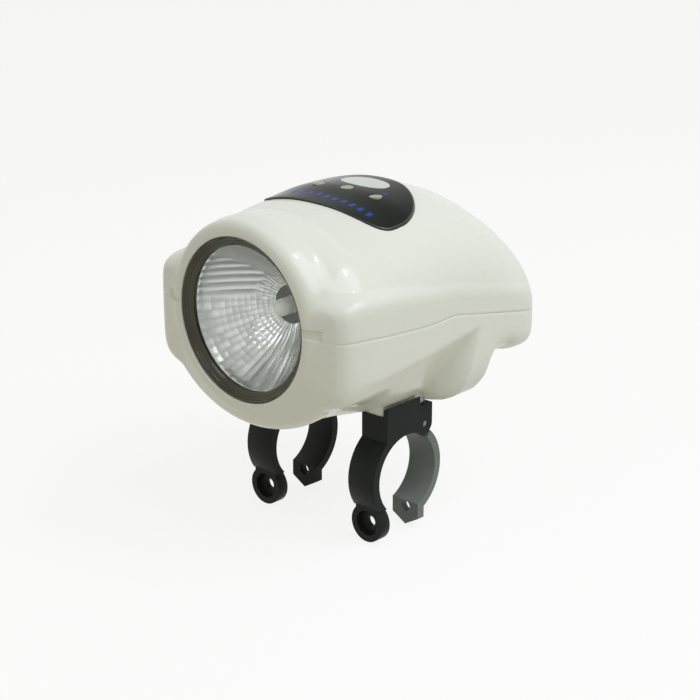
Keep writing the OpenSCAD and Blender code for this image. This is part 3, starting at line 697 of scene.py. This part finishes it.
class BuildShells(bpy.types.Operator):
    """Builds the upper and lower shell of the housing"""
    bl_idname = "headlight.shells"
    bl_label = "Shells"

    def execute(self, context):
        h, z = context.scene.headlight_housing, context.scene.headlight_panel
        belly, tower_x, body = in_mm(h, "belly", "tower_x", "body")
        pitch, row, lamp = in_mm(z, "pitch", "row", "lamp")
        upper = put("upper_housing", mesh_of("upper_housing", [half_shell(0, 34, 0.9, 2.2)]))
        holes = [turned([[0, 20], [lamp + 0.3, 20], [lamp + 0.3, 50], [0, 50]], 40, "Z", (x, row, 0))
                 for x in (-pitch, 0, pitch)]
        carve(upper, [("DIFFERENCE", holes)])
        dress(upper, ivory_finish(), stands_for=["upper_shell"])

        lower = put("lower_housing", mesh_of("lower_housing", [half_shell(180, 60, 0.9, 2.5)]))
        towers, wells, under = [], [], -belly - 6
        for x in (-tower_x, tower_x):
            for place in TOWER_STATIONS:
                y = place * body / TAIL_END
                foot = float(floor_height(tower_x + TOWER_R, y)) + 0.6
                towers.append(turned([[0, foot], [TOWER_R, foot], [TOWER_R, -4], [0, -4]],
                                     40, "Z", (x, y, 0)))
                wells.append(turned([[0, under], [WELL_R, under], [WELL_R, -10], [SCREW_R, -10],
                                     [SCREW_R, -3], [0, -3]], 40, "Z", (x, y, 0)))
        gland = [turned([[0, under], [GLAND_R, under], [GLAND_R, -belly + 6], [0, -belly + 6]], 40, "Z",
                        (0, GLAND_STATION * body / TAIL_END, 0))]
        carve(lower, [("UNION", towers), ("UNION", clamp_pads()), ("DIFFERENCE", wells + gland)])
        dress(lower, ivory_finish(), stands_for=["lower_shell"])
        return {"FINISHED"}


class BuildPanel(bpy.types.Operator):
    """Builds the display panel with its blue marks and its plain oval badge"""
    bl_idname = "headlight.panel"
    bl_label = "Display panel"

    def execute(self, context):
        z = context.scene.headlight_panel
        centre, thick, edge, pitch, row, lamp = in_mm(
            z, "centre", "thickness", "edge", "pitch", "row", "lamp")
        a = np.linspace(0, 2 * math.pi, 480, endpoint=False)[None, :]
        reach = panel_reach(a)
        bend = 1 - np.cos(np.linspace(0, math.pi / 2, 9))[:, None]
        rho = np.concatenate([np.linspace(0, 1, 40)[:-1, None] * (1 - edge / reach),
                              1 - edge / reach * (1 - np.sin(np.linspace(0, math.pi / 2, 9)))[:, None]])
        rise = np.concatenate([np.ones((39, 1)), 1 - bend])
        x, y = rho * reach * np.cos(a), centre + rho * reach * np.sin(a)
        top = np.stack([x, y, roof(x, y) + thick * rise], -1)
        under = np.stack([x, y, roof(x, y) - 0.15], -1)[::-1]
        panel = put("panel_cover", mesh_of("panel_cover", [np.concatenate([top, under])]))
        holes = [turned([[0, 20], [lamp, 20], [lamp, 50], [0, 50]], 48, "Z", (u, row, 0))
                 for u in (-pitch, 0, pitch)]
        carve(panel, [("DIFFERENCE", holes)], 50)
        c = colours()
        dress(panel, finish("panel_gloss", tuple(c.panel), (0.08, 0.2), grain=700.0, mottle=40.0, tone=0.10,
                            bump=0.03, depth=0.03,
                            plain={"Specular IOR Level": 0.06, "Specular Tint": (0.8, 1.0, 0.82, 1.0)}),
              stands_for=["display_panel"])

        # glossy bead along the outline
        b = np.linspace(0, 2 * math.pi, 12, endpoint=False)[:, None]
        inset = reach - BEAD_INSET + BEAD_WIDE * np.cos(b)
        u, v = inset * np.cos(a), centre + inset * np.sin(a)
        bead = np.stack([u, v, roof(u, v) + BEAD_LIFT + BEAD_TALL * np.sin(b)], -1)
        bead = np.concatenate([bead, bead[:1]])
        dress(put("panel_edge", mesh_of("panel_edge", [bead])),
              finish("edge_gloss", tuple(c.panel), (0.04, 0.12), grain=900.0, mottle=120.0, tone=0.1,
                     bump=0.02))

        bars = np.linspace(BAR_FIRST, BAR_LAST, BAR_COUNT)
        ticks = [panel_patch(u, row - BAR_FRONT - BAR_SLANT * u, half_x=1.0, half_y=1.45, power=6,
                             lift=0.05, sink=0.1, count=24, rows=3) for u in bars]
        ticks.append(panel_patch(pitch + 0.4, row + 4.6, half_x=0.8, half_y=0.8, power=3,
                                 lift=0.05, sink=0.1, count=24, rows=3))
        print_blue = finish("print_blue", tuple(c.blue), (0.3, 0.5), grain=3000.0, mottle=400.0, tone=0.25,
                            plain={"Specular IOR Level": 0.1})
        dress(put("panel_ticks", mesh_of("panel_ticks", ticks)), print_blue)

        badge = put("panel_badge", mesh_of("panel_badge", [
            panel_patch(-0.5, row + 10.6, half_x=11.0, half_y=6.0, power=2.2, lift=0.12, sink=0.2,
                        count=96, rows=12)]))
        dress(badge, finish("badge_white", tuple(c.badge), (0.16, 0.3), grain=2000.0, mottle=180.0,
                            tone=0.05))
        coat_nodes(finish("indicator_cream", tuple(c.cream), (0.3, 0.5), grain=2500.0, mottle=420.0,
                          tone=0.22, plain={"Subsurface Weight": 0.2}), "indicator_leds")
        return {"FINISHED"}


class BuildLamp(bpy.types.Operator):
    """Builds the bezel and the fluted reflector and finishes the lens and the lamp"""
    bl_idname = "headlight.lamp"
    bl_label = "Lamp"

    def execute(self, context):
        h, p, c = context.scene.headlight_housing, context.scene.headlight_lamp, colours()
        rim, lip = in_mm(h, "rim", "lip")
        lens, lens_t, focus, hole, sink, chip, pillow = in_mm(
            p, "lens", "lens_thickness", "focus", "hole", "sink", "chip", "pillow")
        # depths of the lens seat and the flange, radii of the bowl and the flange, depths of apex and hub
        seat = lip - 0.6
        flange = seat + lens_t + 0.6
        bowl, flange_r = rim - 3.75, rim + 2.65
        apex = flange + bowl * bowl / (4 * focus)
        hub = apex + 1.6
        outline = [[rim - 0.2, lip], [rim - 0.2, 0.75], [rim - 0.5, 0.75], [rim - 1.05, 1.3],
                   [rim - 1.15, 1.7], [rim - 1.75, 2.1], [rim - 1.85, 2.45], [lens - 0.35, 2.6],
                   [lens - 0.75, 2.7], [lens - 1.6, seat - 0.2], [lens - 1.6, seat], [lens + 0.1, seat],
                   [lens + 0.1, flange], [flange_r, flange], [flange_r, lip], [rim - 0.2, lip]]
        bezel = put("bezel", mesh_of("bezel", [turned(smooth_profile(outline, 6, 0.14), 256)]))
        dress(bezel, finish("bezel_gloss", tuple(c.bezel), (0.12, 0.24), grain=900.0, mottle=34.0, tone=0.9,
                            bump=0.03, plain={"Specular IOR Level": 0.3}),
              stands_for=["bezel_ring"])

        # fluted bowl: pillow facets on depth = apex - r*r/(4 focus), then the flange, the back and the hub
        a = np.linspace(0, 2 * math.pi, p.flutes * FACET_STEPS, endpoint=False)[None, :]
        r = np.linspace(hole, bowl, p.rings * FACET_STEPS + 1)[:, None]
        u = (a * p.flutes / (2 * math.pi)) % 1
        v = ((r - hole) / (bowl - hole) * p.rings) % 1
        across, along = 1 - (2 * u - 1)**2, 1 - (2 * v - 1)**2
        calm = window(a, *CALM, 0.3) * ease(9, 14, r)
        long_flute = window(a, *LONG, 0.4)
        facet = across * (0.35 + 0.65 * (along * (1 - long_flute) + long_flute))
        rib = 0.5 - 0.5 * np.cos(2 * math.pi * r * np.sin(a) / RIB_PITCH)
        ribs = window(a, *RIBBED, 0.2) * ease(11, 15, r)
        height = pillow * ((facet * (1 - ribs) + 2.2 * rib * ribs) * (1 - 0.95 * calm))
        height = height * ease(0, 1.2, r - hole) * ease(0, 0.5, bowl - r)
        depth = apex - r * r / (4 * focus) - height
        inner = np.stack([r * np.cos(a), depth, r * np.sin(a)], -1)
        # painted reflection on the facets: one random brightness per cell, per flute where they run
        # through, per rib; lighter towards one end of each cell, across its middle and on the crests of the
        # ribs, even in the calm part
        table = np.random.default_rng(11).random((p.rings + 1, p.flutes))
        flute = (np.arange(a.size) // FACET_STEPS)[None, :]
        ring = np.minimum(np.arange(r.size) // FACET_STEPS, p.rings)[:, None]
        tone = (0.5 * table[ring, flute] + 0.5 * (1 - v)) * (0.45 + 0.75 * across)
        tone = tone * (1 - long_flute) + table[0, flute] * long_flute
        tone = (tone * (1 - ribs) + rib * ribs) * (1 - calm) + 0.3 * calm
        steps = np.linspace(bowl, 13, 16)
        back = np.stack([steps + 1.7, apex + 0.9 - steps**2 / (4 * focus)], -1).tolist()
        rest = [[flange_r, flange], [flange_r, flange + 1.6], [bowl + 2.2, flange + 1.6], *back,
                [sink, apex - 3.0], [sink, hub], [chip, hub], [chip, apex], [hole, apex],
                [hole, apex - hole * hole / (4 * focus)]]
        shape = np.concatenate([inner, turned(rest, a.size)])
        painted_reflections = np.full((len(shape) - 1, a.size), 0.5)
        painted_reflections[:r.size] = tone
        bowl_piece = put("reflector_bowl", mesh_of("reflector_bowl", [shape], 60, painted_reflections))
        silver = finish("metallised", tuple(c.silver), (0.16, 0.28), grain=1500.0, mottle=90.0, tone=0.32,
                        bump=0.02, plain={"Metallic": 1.0})
        # the attribute facet drives the Tone mask, so the silver is lightened and darkened by the painted
        # reflection (amount 0.32)
        facet = add_node(silver.node_tree, "ShaderNodeAttribute", attribute_name="facet")
        silver.node_tree.links.new(facet.outputs["Fac"], silver.node_tree.nodes["Tone"].inputs["Mask"])
        dress(bowl_piece, silver, stands_for=["reflector"])
        # dark collar of the lamp, lying on the bowl
        ring = np.linspace(COLLAR_FRONT, COLLAR_OUT - 0.2, 7)
        front = np.stack([ring, apex - ring**2 / (4 * focus) - 0.5], -1).tolist()
        collar = [[COLLAR_IN, apex - 0.2], [COLLAR_IN, apex - 1.25], *front,
                  [COLLAR_OUT, front[-1][1] + 0.2], [COLLAR_OUT, apex - COLLAR_OUT**2 / (4 * focus) + 0.25],
                  [hole + 0.2, apex - 0.45], [COLLAR_IN, apex - 0.2]]
        dress(put("lamp_collar", mesh_of("lamp_collar", [turned(collar, 96)])),
              finish("collar_dark", (0.016, 0.018, 0.014), (0.4, 0.6), grain=2500.0, mottle=300.0, tone=0.2,
                     plain={"Specular IOR Level": 0.1}))
        coat_nodes(clear_finish(), "front_lens")
        coat_nodes(finish("lamp_resin", tuple(c.phosphor), (0.2, 0.35), grain=3000.0, mottle=700.0,
                          tone=0.1, plain={"Subsurface Weight": 0.1, "Coat Weight": 0.5}), "led_emitter")
        return {"FINISHED"}


class FinishInside(bpy.types.Operator):
    """Finishes the parts inside the housing and the small hardware"""
    bl_idname = "headlight.inside"
    bl_label = "Inside and hardware"

    def execute(self, context):
        steel = dict(grain=5000.0, mottle=300.0, scuff=600.0, bump=0.08, plain={"Metallic": 1.0})
        coat_nodes(finish("zinc_steel", (0.56, 0.56, 0.58), (0.25, 0.45), tone=0.08, **steel),
                   "led_screws", "reflector_screws", "board_screws", "indicator_screws", "shell_screws",
                   "bracket_screws")
        coat_nodes(finish("dark_steel", (0.22, 0.22, 0.23), (0.4, 0.6), tone=0.1, **steel),
                   "jaw_pin_left", "jaw_pin_right")
        coat_nodes(finish("sink_alloy", (0.62, 0.63, 0.65), (0.3, 0.5), grain=2500.0, scuff=500.0,
                          tone=0.06, plain={"Metallic": 1.0}), "heat_sink")
        coat_nodes(finish("lamp_board", (0.80, 0.81, 0.80), (0.4, 0.6), grain=3500.0, tone=0.04),
                   "led_board")
        coat_nodes(finish("solder_mask", (0.02, 0.12, 0.045), (0.25, 0.45), grain=2500.0, mottle=250.0,
                          tone=0.15), "driver_board", "indicator_board")
        coat_nodes(finish("component_black", (0.03, 0.03, 0.032), (0.4, 0.65), grain=4000.0, tone=0.15),
                   "driver_components", "board_link")
        coat_nodes(finish("lead_red", (0.40, 0.03, 0.02), (0.35, 0.55), grain=3000.0, tone=0.08),
                   "led_lead")
        coat_nodes(finish("rubber_black", (0.018, 0.018, 0.018), (0.6, 0.85), grain=5000.0, tone=0.2,
                          bump=0.15), "lens_gasket", "cable_gland")
        return {"FINISHED"}


class FinishClamps(bpy.types.Operator):
    """Finishes the clamp brackets and jaws and breaks their edges"""
    bl_idname = "headlight.clamps"
    bl_label = "Clamps"

    def execute(self, context):
        c = colours()
        satin = dict(grain=2600.0, mottle=120.0, scuff=260.0, tone=0.12, bump=0.12, depth=0.03,
                     plain={"Specular IOR Level": 0.1})
        black = finish("clamp_satin", tuple(c.clamp), (0.42, 0.62), **satin)
        grey = finish("jaw_satin", tuple(c.jaw), (0.40, 0.60), **satin)
        coat_nodes(black, "clamp_bracket_left", "clamp_bracket_right", "clamp_jaw_right")
        coat_nodes(grey, "clamp_jaw_left")
        for name in ("clamp_bracket_left", "clamp_bracket_right", "clamp_jaw_left", "clamp_jaw_right"):
            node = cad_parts[name]
            weld = node.modifiers.new("weld", "WELD")
            weld.merge_threshold = 0.005 * MM
            soft = node.modifiers.new("edge", "BEVEL")
            soft.width, soft.segments, soft.limit_method = 0.35 * MM, 2, "ANGLE"
            soft.angle_limit, soft.harden_normals = math.radians(50), False
        return {"FINISHED"}


class BuildStage(bpy.types.Operator):
    """Builds the camera, the floor, the room light and the soft lights"""
    bl_idname = "headlight.stage"
    bl_label = "Stage"

    def execute(self, context):
        scene, t = context.scene, context.scene.headlight_stage
        scene.view_settings.view_transform = "Standard"
        azimuth, lift = math.radians(t.azimuth), math.radians(t.elevation)
        back = Vector((math.sin(azimuth) * math.cos(lift), -math.cos(azimuth) * math.cos(lift),
                       math.sin(lift)))
        lens = bpy.data.cameras.new("camera")
        lens.lens, lens.sensor_width, lens.clip_start = t.focal, 36.0, 0.01
        camera = bpy.data.objects.new("camera", lens)
        camera.location = Vector(t.target) + back * t.distance
        camera.rotation_mode = "QUATERNION"
        camera.rotation_quaternion = (-back).to_track_quat("-Z", "Y")
        scene.collection.objects.link(camera)
        scene.camera = camera

        # floor: a wide disc just below the feet of the clamps
        a = np.linspace(0, 2 * math.pi, 96, endpoint=False)[None, :]
        r = np.array([0, 0.3, 1.0, 3.0, 8.0])[:, None]
        level = CAD_BOX[0].z - FLOOR_GAP
        points = np.stack([r * np.cos(a), r * np.sin(a), np.full((5, 96), level)], -1)
        floor = put("floor", mesh_of("floor", [(points - OPENING) / MM]))
        floor.data.materials.append(backdrop_finish("floor_pale", (0.66, 0.65, 0.56), 0.85))

        world = bpy.data.worlds.new("studio")
        world.use_nodes = True
        scene.world = world
        tree = world.node_tree
        tree.nodes.clear()
        link = tree.links.new
        room = add_node(tree, "ShaderNodeBackground",
                        {"Color": (1.0, 0.98, 0.78, 1.0), "Strength": t.world})
        white = add_node(tree, "ShaderNodeBackground", {"Color": (1, 1, 1, 1), "Strength": 1.0})
        mixed = add_node(tree, "ShaderNodeMixShader")
        out = add_node(tree, "ShaderNodeOutputWorld")
        link(seen_rays(tree), mixed.inputs["Fac"])
        link(room.outputs[0], mixed.inputs[1])
        link(white.outputs[0], mixed.inputs[2])
        link(mixed.outputs[0], out.inputs["Surface"])

        soft_light("key", (0.62, 0.10, 0.95), (0.9, 0.7), t.key)
        soft_light("front", (-0.10, -0.90, 0.75), (0.35, 0.25), 0.75)
        soft_light("sparkle", (0.32, 0.30, 0.98), (0.10, 0.06), 0.5)
        return {"FINISHED"}


class HeadlightPanel(bpy.types.Panel):
    """Lists the steps of the headlight in the sidebar"""
    bl_idname = "VIEW3D_PT_headlight"
    bl_label = "Headlight"
    bl_space_type = "VIEW_3D"
    bl_region_type = "UI"
    bl_category = "Headlight"

    def draw(self, context):
        for step in STEPS:
            self.layout.operator(step.bl_idname, text=step.bl_label)
        for name in GROUPS:
            group = getattr(context.scene, name)
            box = self.layout.box()
            for key in group.__annotations__:
                box.prop(group, key)


GROUPS = {"headlight_housing": HousingSizes, "headlight_lamp": LampSizes, "headlight_panel": PanelSizes,
          "headlight_finishes": Finishes, "headlight_stage": StageSettings}
STEPS = (BuildStage, BuildShells, BuildPanel, BuildLamp, FinishInside, FinishClamps)


def register():
    for cls in (*GROUPS.values(), *STEPS, HeadlightPanel):
        bpy.utils.register_class(cls)
    for name, cls in GROUPS.items():
        setattr(bpy.types.Scene, name, PointerProperty(type=cls))


def unregister():
    for name in GROUPS:
        delattr(bpy.types.Scene, name)
    for cls in reversed((*GROUPS.values(), *STEPS, HeadlightPanel)):
        bpy.utils.unregister_class(cls)


def main():
    """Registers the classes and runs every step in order."""
    register()
    bpy.ops.headlight.stage()
    bpy.ops.headlight.shells()
    bpy.ops.headlight.panel()
    bpy.ops.headlight.lamp()
    bpy.ops.headlight.inside()
    bpy.ops.headlight.clamps()


if __name__ == "__main__":
    main()
